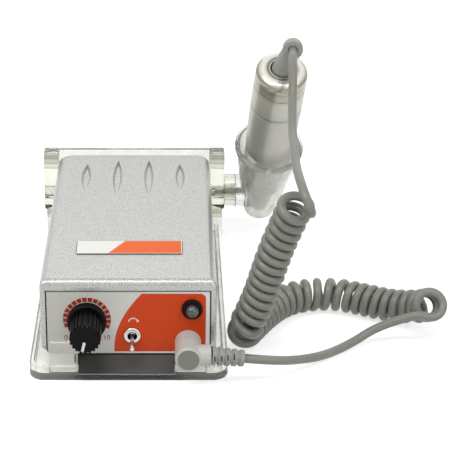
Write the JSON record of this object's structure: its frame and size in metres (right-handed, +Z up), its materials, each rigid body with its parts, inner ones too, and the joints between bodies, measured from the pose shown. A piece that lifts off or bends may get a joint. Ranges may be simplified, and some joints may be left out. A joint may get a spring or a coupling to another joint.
{
  "type": "nail drill machine",
  "caption": "Nail drill machine: silver control box with dial, switch and lamp in a clear desk cradle, handpiece in a tilting cup, grey curly cord.",
  "frame": {"origin": "On the table under the middle of the control box.", "axes": "+X to the machine's right, where the handpiece stands; -Y towards the user, where the control panel looks; +Z up from the table."},
  "size_m": [0.1574, 0.154, 0.1029],
  "materials": {
    "clear_plastic": "clear moulded acrylic with soft edges",
    "silver_plastic": "silver metallic paint with fine sparkle",
    "dark_plastic": "dark grey moulded plastic",
    "black_plastic": "satin black moulded plastic",
    "white_plastic": "white inlay",
    "grey_plastic": "light grey moulded plastic",
    "grey_rubber": "grey soft plastic",
    "grey_cord": "grey cord jacket with a soft sheen",
    "label": "printed film in orange red and white",
    "lamp_lens": "clear domed lens",
    "silver_metal": "satin anodised metal",
    "polished_metal": "polished metal",
    "dark_metal": "dark machined metal",
    "steel": "machined steel",
    "iron": "stacked laminations",
    "magnet": "ground ferrite",
    "brass": "copper alloy",
    "cell_wrap": "shrink wrap",
    "board": "lacquered circuit board"
  },
  "bodies": {
    "cradle": {"cradle": "clear_plastic", "swivel_boss": "clear_plastic", "cord_upper": "grey_cord", "cord_coil": "grey_cord", "cord_lower": "grey_cord", "cord_tail": "grey_cord"},
    "holder": {"holder_cup": "clear_plastic", "pivot_screw": "steel", "pivot_nut": "steel"},
    "handpiece": {"nose_cone": "dark_metal", "front_grip": "silver_metal", "barrel": "silver_metal", "trim_ring": "dark_metal", "rear_sleeve": "silver_metal", "rear_cap": "polished_metal", "motor_can": "steel", "motor_bearings": "steel", "motor_magnets": "magnet", "motor_end_cap": "black_plastic", "motor_brushes": "brass", "spindle_bearings": "steel", "cord_boot": "grey_rubber", "cord_lead": "grey_cord"},
    "twist_ring": {"twist_ring": "silver_metal"},
    "spindle": {"rotor_core": "iron", "commutator": "brass", "motor_shaft": "steel", "spindle": "steel", "collet": "steel"},
    "control_box": {"upper_housing": "silver_plastic", "lower_case": "dark_plastic", "top_label": "label", "front_panel": "silver_plastic", "panel_overlay": "label", "housing_screws": "steel", "battery_cells": "cell_wrap", "circuit_board": "board", "charging_jack": "black_plastic", "pot_bushing": "steel", "pot_nut": "steel", "pot_body": "steel", "switch_body": "black_plastic", "switch_bushing": "steel", "switch_nut": "steel", "led_bezel": "black_plastic", "led_lens": "lamp_lens", "motor_jack": "black_plastic"},
    "knob": {"speed_knob": "black_plastic", "knob_pointer": "white_plastic", "pot_shaft": "steel"},
    "toggle": {"toggle_lever": "steel"},
    "plug": {"plug_body": "grey_plastic", "plug_cap": "grey_plastic", "plug_pin": "steel", "plug_strain_relief": "grey_rubber"}
  },
  "joints": [
    {"name": "knob_turn", "type": "hinge", "parent": "control_box", "child": "knob", "pos_m": [-0.0149, -0.07, 0.0211], "axis": [0, 1, 0], "range_deg": [0, 300]},
    {"name": "toggle_throw", "type": "hinge", "parent": "control_box", "child": "toggle", "pos_m": [0.0014, -0.062, 0.015], "axis": [-1, 0, 0], "range_deg": [0, 26]},
    {"name": "box_lift", "type": "slide", "parent": "cradle", "child": "control_box", "axis": [0, 0, 1], "range_m": [0, 0.045]},
    {"name": "holder_swivel", "type": "hinge", "parent": "cradle", "child": "holder", "pos_m": [0.0407, 0.0625, 0.02], "axis": [-1, 0, 0], "range_deg": [0, 62]},
    {"name": "handpiece_lift", "type": "slide", "parent": "holder", "child": "handpiece", "axis": [0.0558, -0.5291, 0.8467], "range_m": [0, 0.046]},
    {"name": "twist_ring_turn", "type": "hinge", "parent": "handpiece", "child": "twist_ring", "pos_m": [0.0543, 0.0625, 0.02], "axis": [0.0558, -0.5291, 0.8467], "range_deg": [0, 45]},
    {"name": "spindle_spin", "type": "hinge", "parent": "handpiece", "child": "spindle", "pos_m": [0.0543, 0.0625, 0.02], "axis": [0.0558, -0.5291, 0.8467], "continuous": true},
    {"name": "plug_pull", "type": "slide", "parent": "control_box", "child": "plug", "axis": [0, -1, 0], "range_m": [0, 0.012]}
  ]
}
